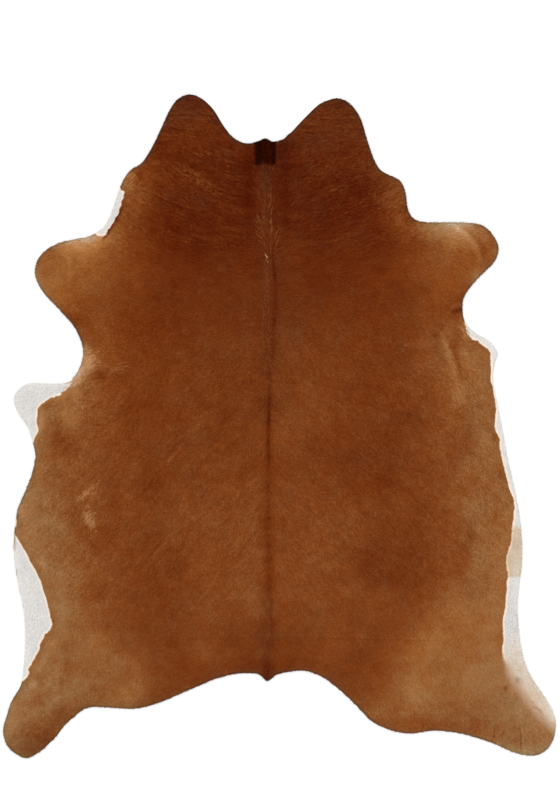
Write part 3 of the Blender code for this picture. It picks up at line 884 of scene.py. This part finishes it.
def fillLoop(loop, inner):
    # Triangles between a closed loop and the points inside it.
    # Output type 1 keeps what lies inside the loop, and points nearer to each other than 1e-7 are merged.
    count = len(loop)
    ring = [(i, (i + 1) % count) for i in range(count)]
    result = delaunay_2d_cdt([Vector(p) for p in np.concatenate([loop, inner])], ring, [], 1, 1e-7)
    return np.array(result[2])


def wallBand(lower, upper, count):
    # Two triangles for each step round between two closed rows of points, given by their first numbers.
    here = np.arange(count)
    ahead = (here + 1) % count
    return np.concatenate([
        np.column_stack([lower + ahead, lower + here, upper + here]),
        np.column_stack([lower + ahead, upper + here, upper + ahead]),
    ])


def coatValues(points, along, white=None):
    # The four values that the materials read: tone, white, tint and along.
    white = whiteness(points) if white is None else white
    inward = readMap(edgeMap, points)
    rim = {}
    # painted shade along the outline: a darker line and a faint band on brown hair, a line on white hair
    for name, (reach, amount) in shading["rim"].items():
        rim[name] = amount * (1.0 - smoothStep(0.0, reach, inward))
    brownTone = toneAt(points) - rim["line"] - rim["band"] + border["softTan"] * softShare(points) * white
    whiteTone = whiteToneAt(points) - rim["whiteLine"]
    mixed = brownTone * (1.0 - white) + whiteTone * white
    return np.column_stack([mixed, white, tintAt(points, white), np.full(len(points), along)])


skin = {
    "inset": 0.0020,                  # the skin's edge lies this far inside the tips of the hair
    "lean": (0.0004, 0.0035),         # how far in the two rows above it lie
    "step": 0.0080,                   # between points of the top
    "borderStep": (0.0025, 0.0100),   # finer points along the white, and how far they reach to either side
    "underStep": 0.060,               # between points of the underside
    "clear": 0.4,                     # points keep this share of their step clear of the rows
    "along": 0.25,                    # it has the shade that a hair has at this share of its length
    # left, low and size of the underside on the UV map
    "underPlace": (0.86, 0.01, 0.15),
}


def makeSkin(hairSide, fleshSide):
    # One closed sheet: a flat underside, two rows up the cut rim, and the hair side over a net of points.
    foot = insetLoop(edge, skin["inset"])
    count = len(foot)
    wall, shoulder = (insetLoop(foot, lean) for lean in skin["lean"])
    inner = skin["inset"] + skin["lean"][1]
    step, reach = skin["borderStep"]
    coarse = netPoints(skin["step"], inner + skin["clear"] * skin["step"])
    fine = netPoints(step, inner + skin["clear"] * step)
    net = np.concatenate([coarse[np.abs(readMap(whiteMap, coarse)) > reach],
                          fine[np.abs(readMap(whiteMap, fine)) < reach]])
    under = netPoints(skin["underStep"], skin["clear"] * skin["underStep"])
    topPoints = np.concatenate([wall, shoulder, net])
    topHeights = coatHeight(topPoints) - pileDepth(topPoints)
    topHeights[:count] = relief["rimHeight"] - relief["rimPile"]
    top = np.column_stack([topPoints, topHeights])
    bottom = np.column_stack([np.concatenate([foot, under]), np.zeros(count + len(under))])
    places = np.concatenate([top, bottom])

    # The rim's lower band and the underside are suede, the upper band and the top are skin under the hair.
    footStart = len(top)
    faces = [wallBand(footStart, 0, count), wallBand(0, count, count)]
    faces.append(fillLoop(shoulder, net) + count)
    faces.append(fillLoop(foot, under)[:, ::-1] + footStart)
    triangles = np.concatenate(faces)
    slots = np.concatenate([np.full(len(f), s) for f, s in zip(faces, (1, 0, 0, 1))])

    uv = bakePlace(places[:, :2])
    left, low, size = skin["underPlace"]
    uv[footStart:] = np.array((left, low)) + size * bakePlace(bottom[:, :2])
    coat = coatValues(places[:, :2], skin["along"])
    piece = makePiece("hideSkin", places, triangles, (hairSide, fleshSide), coat, uv, slots)
    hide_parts("cowhide")
    return piece


hair = {
    "tufts": 280000,
    "clear": 0.0008,                  # roots lie at least this far inside the skin's edge
    # length on the back, how much longer it is on the neck, and the share by which it varies
    "length": (0.0105, 0.0055, 0.34),
    "width": (0.0023, 0.35),          # and the share by which it varies
    "neck": (1.30, 1.55),             # where the longer, coarser hair of the neck begins
    # fore, and how much one tuft's tone differs from the next
    "contrast": (
        (-0.20, 0.024), (0.10, 0.018), (0.40, 0.028), (1.20, 0.028), (1.36, 0.018), (1.50, 0.024),
        (1.65, 0.030), (2.00, 0.032),
    ),
    "furthest": 1.7,                  # the lightest and darkest tufts differ by so many times that
    "paler": 2.4,                     # light tufts get greyer by so many times that, dark ones redder
    "clump": (0.005, 0.011),          # amount on the neck, half of it elsewhere, and size
    "stray": (28.0, 15.0),            # degrees by which tufts leave the common way, on back and neck
    "roll": 0.40,                     # tilt to either side, in radians
    "lift": (0.35, 1.0),              # how high tips stand: 0 is the skin, 1 the top of the coat
    "overhang": 0.0008,               # how far tips may pass the outline
    "shortest": 0.12,                 # the outline cuts no tuft shorter than this share of its length
    "coloured": 0.4,                  # a tuft takes its colour from the place this share along it
    "either": 0.15,                   # by how much of a mix chance may turn a tuft brown or white
    "blend": (0.016, 0.0009),         # reach of the mixed tufts along a border, and how ragged it is
    "specks": (0.035, 0.10, 0.02),    # share of white tufts that are greyer, how much, spread of all
    # shares of the blade: where its middle line lies, how high that stands and its value for along, the width
    # of the root and the bend to either side; then how deep the root is sunk
    "blade": {"middle": 0.42, "middleLift": 0.9, "middleAlong": 0.7, "root": 0.55, "bend": 0.12,
              "sunk": 0.0002},
    "corners": 5,                     # two at its root, two at its middle and the tip
    "zones": ("coatRump", "coatLoin", "coatBack", "coatShoulder", "coatNeck"),
    "seedStep": 100,                  # between the random numbers of one zone and the next
}


def hairRoots():
    # One root in each cell of a square net, at a random place in the cell.
    random = np.random.default_rng(hide["seed"])
    low, high = edge.min(axis=0), edge.max(axis=0)
    step = math.sqrt(hideArea / hair["tufts"])
    x, y = np.meshgrid(np.arange(low[0], high[0], step), np.arange(low[1], high[1], step))
    roots = np.stack([x.ravel(), y.ravel()], axis=1)
    roots = roots + step * random.random(roots.shape)
    return roots[readMap(edgeMap, roots) > skin["inset"] + hair["clear"]]


def layTufts(roots, way, length, width, coat, lift, random):
    # A tuft is a blade of three cross-lines: narrow at the root, widest near the middle, a point at the tip.
    # It rises from the skin to the top of the coat. One that would pass the outline is cut shorter.
    count, blade = len(roots), hair["blade"]
    start = readMap(edgeMap, roots)
    end = readMap(edgeMap, roots + way * length[:, None])
    spare = hair["overhang"] * random.random(count)
    share = np.where(end < -spare, (start + spare) / np.maximum(start - end, 1e-6), 1.0)
    length = length * np.clip(share, hair["shortest"], 1.0)
    side = np.stack([-way[:, 1], way[:, 0]], axis=1)
    bend = random.uniform(-blade["bend"], blade["bend"], count)
    middle = roots + way * (blade["middle"] * length)[:, None]
    tip = roots + way * length[:, None] + side * (bend * length)[:, None]

    heights = [coatHeight(p) - pileDepth(p) for p in (roots, middle, tip)]
    heights[0] -= blade["sunk"]
    heights[1] += pileDepth(middle) * lift * blade["middleLift"]
    heights[2] += pileDepth(tip) * lift
    roll = random.uniform(-hair["roll"], hair["roll"], count)
    flatSide = side * (0.5 * width * np.cos(roll))[:, None]
    upSide = 0.5 * width * np.sin(roll)
    rows = []
    for place, height, spread in ((roots, heights[0], blade["root"]), (middle, heights[1], 1.0)):
        for sign in (-spread, spread):
            rows.append(np.column_stack([place + sign * flatSide, height + sign * upSide]))
    rows.append(np.column_stack([tip, heights[2]]))
    places = np.stack(rows, axis=1)
    coat = np.repeat(coat[:, None, :], hair["corners"], axis=1)
    coat[:, :, 3] = (0.0, 0.0, blade["middleAlong"], blade["middleAlong"], 1.0)
    first = hair["corners"] * np.arange(count)[:, None]
    triangles = np.concatenate([first + (0, 3, 1), first + (0, 2, 3), first + (2, 4, 3)])
    return places.reshape(-1, 3), triangles, coat.reshape(-1, 4)


def makeCoat(roots, seed):
    # The common coat: heading, length and contrast change from the back to the neck and the limbs.
    random = np.random.default_rng(hide["seed"] + seed)
    count = len(roots)
    neck = smoothStep(*hair["neck"], roots[:, 1])
    stray = hair["stray"][0] + (hair["stray"][1] - hair["stray"][0]) * neck
    way = turned(heading(roots), stray * random.standard_normal(count))
    usual, longer, varies = hair["length"]
    length = (usual + longer * neck) * (1.0 + varies * random.uniform(-1.0, 1.0, count))
    reach, shortest = border["shortHair"]
    length *= np.clip(np.abs(readMap(whiteMap, roots)) / reach, shortest, 1.0)
    width = hair["width"][0] * (1.0 + hair["width"][1] * random.uniform(-1.0, 1.0, count))

    middle = roots + way * (hair["coloured"] * length)[:, None]
    white = whiteness(middle)
    single = (white + hair["either"] * random.uniform(-1.0, 1.0, count) > 0.5) * 1.0
    white = np.where(softShare(middle) > 0.5, white, single)
    coat = coatValues(middle, 1.0, white)
    contrast = np.interp(roots[:, 1], *np.array(hair["contrast"]).T)
    contrast = contrast * random.uniform(-hair["furthest"], hair["furthest"], count)
    amount, size = hair["clump"]
    contrast += amount * softNoise(roots, size, 41) * (0.5 + 0.5 * neck)
    share, darker, spread = hair["specks"]
    specks = -darker * (random.random(count) < share) + spread * random.standard_normal(count)
    coat[:, 0] += contrast * (1.0 - white) + specks * white
    coat[:, 2] += hair["paler"] * contrast * (1.0 - white)
    coat[:, 2] = np.clip(coat[:, 2], 0.0, shading["brownTop"])
    lift = random.uniform(*hair["lift"], count)
    places, triangles, coat = layTufts(roots, way, length, width, coat, lift, random)

    # Next to a border each corner of a tuft takes the colour of its own place, give or take a little.
    near = np.flatnonzero(np.abs(readMap(whiteMap, middle)) < hair["blend"][0])
    shift = hair["blend"][1] * random.standard_normal((len(near), 1, 2))
    each = hair["corners"]
    corners = each * near[:, None] + np.arange(each)
    own = coatValues((places[corners, :2] + shift).reshape(-1, 2), 1.0)
    lighter, greyer = np.repeat(contrast[near], each), np.repeat(specks[near], each)
    own[:, 0] += lighter * (1.0 - own[:, 1]) + greyer * own[:, 1]
    coat[corners.ravel(), :3] = own[:, :3]
    return places, triangles, coat


# Tufts that stand out from the coat round them: place (out, fore), half width, half length and turn of the
# group, number, heading and its spread in degrees, length, tone, tint and share of white.
markColumns = ("out", "fore", "wide", "long", "turn", "count", "heading", "spread", "length", "tone", "tint",
               "white")
marks = {
    "crestLine": (0.01, 1.56, 0.0035, 0.09, 0, 60, 91, 6, 0.022, 0.45, 0.8, 0.01),
    "crestStrip": (-0.01, 1.68, 0.016, 0.05, 0, 55, 92, 6, 0.026, 0.36, 0.95, 0.0),
    "whorlTuft": (-0.001, 1.44, 0.0012, 0.002, 0, 6, 122, 7, 0.018, 0.7, 0.5, 0.0),
    "whorlDots": (-0.005, 1.424, 0.004, 0.004, 0, 4, 60, 30, 0.009, 0.6, 0.5, 0.0),
    "spineHigh": (-0.006, 1.33, 0.009, 0.08, 0, 80, -93, 30, 0.012, 0.44, 0.8, 0.0),
    "spineLow": (-0.002, 1.17, 0.012, 0.1, 0, 150, -90, 35, 0.011, 0.45, 0.8, 0.0),
    "belowWhorl": (0.003, 1.38, 0.008, 0.03, 0, 30, -100, 16, 0.014, 0.44, 0.7, 0.0),
    # painted highlights: these four groups are light tufts for the sheen where the hair turns over the left
    # armpit and belly fold
    "armpitLeft": (-0.607, 1.094, 0.024, 0.026, -40, 90, 214, 14, 0.024, 0.72, 0.2, 0.03),
    "armpitLeftLow": (-0.646, 1.04, 0.014, 0.036, -40, 70, 216, 12, 0.022, 0.69, 0.1, 0.05),
    "bellyLeft": (-0.64, 0.93, 0.028, 0.026, 0, 100, 130, 25, 0.018, 0.61, 0.5, 0.02),
    "armpitLeftLines": (-0.5, 1.068, 0.06, 0.012, 8, 45, 196, 8, 0.03, 0.57, 0.4, 0.0),
    "flankTuft": (-0.604, 0.56, 0.015, 0.026, 20, 120, 236, 12, 0.022, 0.64, 0.6, 0.0),
    "flankTuftHigh": (-0.615, 0.645, 0.034, 0.008, 40, 90, 225, 14, 0.018, 0.62, 0.55, 0.0),
    "softWisps": (0.898, -0.086, 0.01, 0.034, 51, 45, -42, 14, 0.024, 0.64, 0.6, 0.25),
    "flankEdge": (-0.838, 0.59, 0.018, 0.014, 0, 60, 220, 18, 0.02, 0.66, 0.5, 0.0),
    # painted highlights: these four groups are light tufts for the sheen where the hair turns over the right
    # side and armpit
    "sideRightHigh": (0.615, 1.11, 0.006, 0.06, 20, 50, -62, 12, 0.022, 0.58, 0.45, 0.0),
    "sideRightLow": (0.643, 0.985, 0.02, 0.03, 20, 120, -62, 12, 0.024, 0.6, 0.45, 0.0),
    "sideRightOuter": (0.68, 1.06, 0.016, 0.04, 20, 80, -62, 12, 0.024, 0.59, 0.45, 0.0),
    "armpitRight": (0.662, 1.205, 0.012, 0.02, 0, 60, -65, 12, 0.02, 0.64, 0.4, 0.0),
    # painted highlight and shade on the wrinkled neck skin, from neckFlecksLeft to neckFlecksLeftHigh: light
    # flecks and lines for the lit edges of wrinkles, and the two dark groups for the shaded side beside them
    "neckFlecksLeft": (-0.231, 1.702, 0.058, 0.018, -36, 120, 142, 20, 0.02, 0.47, 0.55, 0.0),
    "shoulderFlecksLeft": (-0.3, 1.508, 0.07, 0.014, -12, 70, 160, 24, 0.02, 0.42, 0.5, 0.0),
    "lobeLeft": (-0.27, 1.91, 0.09, 0.08, 0, 120, 172, 24, 0.02, 0.45, 0.55, 0.0),
    "lobeRight": (0.24, 1.905, 0.09, 0.08, 0, 120, 12, 24, 0.02, 0.45, 0.55, 0.0),
    "neckLinesRight": (0.194, 1.74, 0.05, 0.016, 30, 44, 30, 12, 0.02, 0.445, 0.55, 0.0),
    "neckLinesRightLow": (0.225, 1.668, 0.04, 0.009, 27, 24, 27, 8, 0.024, 0.435, 0.6, 0.0),
    "neckLinesRightOuter": (0.352, 1.648, 0.038, 0.007, 27, 30, 27, 7, 0.024, 0.45, 0.6, 0.0),
    "neckDarkRightOuter": (0.354, 1.642, 0.036, 0.005, 27, 20, 27, 6, 0.024, 0.3, 0.4, 0.0),
    "neckLinesRightRear": (0.288, 1.603, 0.034, 0.012, 28, 20, 28, 8, 0.022, 0.43, 0.5, 0.0),
    "neckFlecksRight": (0.33, 1.757, 0.036, 0.026, 30, 56, 40, 28, 0.016, 0.48, 0.55, 0.0),
    "neckLinesLeft": (-0.371, 1.762, 0.038, 0.008, -4, 32, 174, 9, 0.025, 0.48, 0.6, 0.0),
    "neckLinesLeftMiddle": (-0.283, 1.713, 0.036, 0.015, -36, 36, 144, 12, 0.024, 0.478, 0.6, 0.0),
    "neckLinesLeftInner": (-0.2, 1.682, 0.044, 0.009, -27, 34, 152, 8, 0.025, 0.475, 0.6, 0.0),
    "neckDarkLeftInner": (-0.2, 1.676, 0.044, 0.006, -27, 22, 152, 8, 0.026, 0.3, 0.4, 0.0),
    "neckFlecksLeftHigh": (-0.19, 1.793, 0.04, 0.01, 0, 34, 176, 12, 0.018, 0.48, 0.6, 0.0),
    "neckBumpLeft": (-0.47, 1.695, 0.018, 0.02, 0, 28, 52, 8, 0.024, 0.42, 0.3, 0.0),
    "notchLinesLeft": (-0.43, 1.64, 0.036, 0.012, -40, 40, 138, 8, 0.026, 0.53, 0.55, 0.0),
    "neckEdgeLeft": (-0.476, 1.692, 0.018, 0.02, 0, 40, 52, 8, 0.026, 0.61, 0.45, 0.0),
    "neckEdgeRight": (0.425, 1.62, 0.03, 0.06, 20, 80, 30, 20, 0.018, 0.52, 0.5, 0.0),
}

# Strokes laid side by side like a comb: from (out, fore) to (out, fore), number of light strokes, with a dark
# one after each, heading of the first and of the last, length of a stroke, tone of light and dark ones, tint.
combColumns = ("out1", "fore1", "out2", "fore2", "strokes", "heading1", "heading2", "length", "light", "dark",
               "tint")
combs = {
    # in the three fans about the whorl, the light strokes stand for sheen on the fanned hair: painted
    # highlights
    "fanLeft": (-0.004, 1.47, -0.01, 1.61, 14, 140, 116, 0.03, 0.47, 0.31, 0.85),
    "fanLeftOuter": (-0.018, 1.49, -0.025, 1.58, 10, 142, 126, 0.03, 0.49, 0.3, 0.8),
    "fanRight": (0.017, 1.45, 0.026, 1.525, 8, 50, 74, 0.036, 0.475, 0.3, 0.7),
    "spineLeft": (-0.016, 1.18, -0.008, 1.41, 14, 252, 288, 0.022, 0.47, 0.37, 0.95),
    "spineMiddle": (0.0, 1.15, 0.006, 1.39, 14, 286, 256, 0.022, 0.465, 0.36, 0.95),
}

markLook = {
    "seed": 900,
    "scatter": 0.7,           # tufts lie about a group's middle by this share of its half width and length
    "clear": 0.004,           # none grows nearer to the outline than this
    "length": (0.6, 1.2), "width": (0.6, 1.0), "tone": 0.04,   # how tufts of a group vary
    "lift": (0.9, 1.05),
    # in a comb: tufts in a stroke, how far strokes stray from even steps, and by how many degrees strokes and
    # tufts leave the common way; where in the stroke tufts start, and their lengths, widths and tones
    "combTufts": 6, "combUneven": 0.5, "combStray": (5.0, 4.0),
    "combStart": (-0.1, 0.6), "combLength": (0.4, 0.7), "combWidth": 0.0016, "combTone": 0.02,
}


def groupTufts(mark, random):
    # A group is scattered normally about its middle, and then turned.
    count = mark["count"]
    scatter = markLook["scatter"]
    roots = random.standard_normal((count, 2)) * (scatter * mark["wide"], scatter * mark["long"])
    roots = turned(roots, mark["turn"]) + (mark["out"], mark["fore"])
    roots = roots[readMap(edgeMap, roots) > markLook["clear"]]
    count = len(roots)
    angle = mark["heading"] + mark["spread"] * random.standard_normal(count)
    way = turned(np.tile((1.0, 0.0), (count, 1)), angle)
    length = mark["length"] * random.uniform(*markLook["length"], count)
    width = hair["width"][0] * random.uniform(*markLook["width"], count)
    coat = np.tile((mark["tone"], mark["white"], mark["tint"], 1.0), (count, 1))
    coat[:, 0] += markLook["tone"] * random.standard_normal(count)
    return roots, way, length, width, coat


def combTufts(comb, random):
    # The tufts of a stroke follow one another along it; a light stroke and a dark one take turns.
    lines, each = 2 * comb["strokes"], markLook["combTufts"]
    share = np.repeat((np.arange(lines) + markLook["combUneven"] * random.random(lines)) / lines, each)
    count = len(share)
    strokeStray, tuftStray = markLook["combStray"]
    angle = comb["heading1"] + (comb["heading2"] - comb["heading1"]) * share
    angle = angle + np.repeat(strokeStray * random.standard_normal(lines), each)
    way = turned(np.tile((1.0, 0.0), (count, 1)), angle + tuftStray * random.standard_normal(count))
    run = np.array((comb["out2"] - comb["out1"], comb["fore2"] - comb["fore1"]))
    start = np.array((comb["out1"], comb["fore1"])) + share[:, None] * run
    roots = start + way * (comb["length"] * random.uniform(*markLook["combStart"], count))[:, None]
    coat = np.tile((comb["light"], 0.0, comb["tint"], 1.0), (count, 1))
    coat[(np.arange(count) // each) % 2 == 1, 0] = comb["dark"]
    coat[:, 0] += markLook["combTone"] * random.standard_normal(count)
    length = comb["length"] * random.uniform(*markLook["combLength"], count)
    return roots, way, length, np.full(count, markLook["combWidth"]), coat


def makeMarks():
    # All groups and then all combs of the tables above, one after the other.
    random = np.random.default_rng(hide["seed"] + markLook["seed"])
    parts = [groupTufts(dict(zip(markColumns, row)), random) for row in marks.values()]
    parts += [combTufts(dict(zip(combColumns, row)), random) for row in combs.values()]
    roots, way, length, width, coat = (np.concatenate(part) for part in zip(*parts))
    lift = random.uniform(*markLook["lift"], len(roots))
    return layTufts(roots, way, length, width, coat, lift, random)


# The rug

group = coatGroup()
hairMaterial = coatMaterial("hair", group, hairLook)
skinMaterial = coatMaterial("skinHairSide", group, skinLook)
print("materials: hair and skin")
hideSkin = makeSkin(skinMaterial, suedeMaterial())

roots = hairRoots()
roots = roots[np.argsort(roots[:, 1])]
zones = list(zip(hair["zones"], np.array_split(roots, len(hair["zones"]))))
seeds = itertools.count(hair["seedStep"], hair["seedStep"])
tufts = {name: makeCoat(part, seed) for (name, part), seed in zip(zones, seeds)}
tufts["coatMarks"] = makeMarks()
for name, (places, triangles, coat) in tufts.items():
    makePiece(name, places, triangles, (hairMaterial,), coat, bakePlace(places[:, :2]))


# Room, light and camera

room = {
    "floorSize": 30.0,
    "floorDrop": 0.0003,      # it lies this far below the hide
    "floorShade": 0.93,
    "floorLook": {"roughness": 0.9, "specular": 0.1},
    "sky": 0.80,              # strength of the even light from all round
    "key": 1.15,              # and of the one lamp
    "keyAngle": 28.0,         # how wide the lamp is, in degrees: the wider, the softer its shadows
    "keyFrom": (-0.35, 0.60, 1.0),
}
camera = {
    "perPixel": 0.0034,       # metres on the floor for each pixel
    "frame": (560, 800),
    "middle": (280.0, 400.0),
    "spinePixel": 268.0,      # where the spine and the tail tip stand in the photograph
    "tailPixel": 681.6,
    "distance": 14.0,
    "farEnd": 100.0,
    "sensor": 36.0,
}


def makeRoom():
    # A pale floor, an even white sky and one wide lamp.
    half, drop, shade = room["floorSize"] / 2.0, room["floorDrop"], room["floorShade"]
    mesh = bpy.data.meshes.new("floor")
    corners = [(x, y, -drop) for x, y in ((-half, -half), (half, -half), (half, half), (-half, half))]
    mesh.from_pydata(corners, [], [(0, 1, 2, 3)])
    material, surface = newMaterial("paleFloor", room["floorLook"])
    surface.inputs["Base Color"].default_value = (shade, shade, shade, 1.0)
    mesh.materials.append(material)
    floor = bpy.data.objects.new("floor", mesh)
    bpy.context.scene.collection.objects.link(floor)

    sky = bpy.data.worlds.new("studio")
    sky.use_nodes = True
    sky.node_tree.nodes["Background"].inputs["Color"].default_value = (1.0, 1.0, 1.0, 1.0)
    sky.node_tree.nodes["Background"].inputs["Strength"].default_value = room["sky"]
    bpy.context.scene.world = sky
    light = bpy.data.lights.new("softKey", "SUN")
    light.energy = room["key"]
    light.angle = math.radians(room["keyAngle"])
    key = bpy.data.objects.new("softKey", light)
    key.rotation_euler = Vector(room["keyFrom"]).to_track_quat("Z", "Y").to_euler()
    bpy.context.scene.collection.objects.link(key)
    bpy.context.scene.view_settings.view_transform = "Standard"


def makeCamera():
    # Straight above, with the photograph's scale: the longer side of the frame is the sensor's width.
    lens = bpy.data.cameras.new("camera")
    lens.sensor_width = camera["sensor"]
    lens.lens = camera["sensor"] * camera["distance"] / (camera["frame"][1] * camera["perPixel"])
    lens.clip_end = camera["farEnd"]
    eye = bpy.data.objects.new("camera", lens)
    x = hide["spineX"] + (camera["middle"][0] - camera["spinePixel"]) * camera["perPixel"]
    y = hide["tailY"] + (camera["tailPixel"] - camera["middle"][1]) * camera["perPixel"]
    eye.location = (x, y, camera["distance"])
    bpy.context.scene.collection.objects.link(eye)
    bpy.context.scene.camera = eye


makeRoom()
makeCamera()
print("room and camera: done")
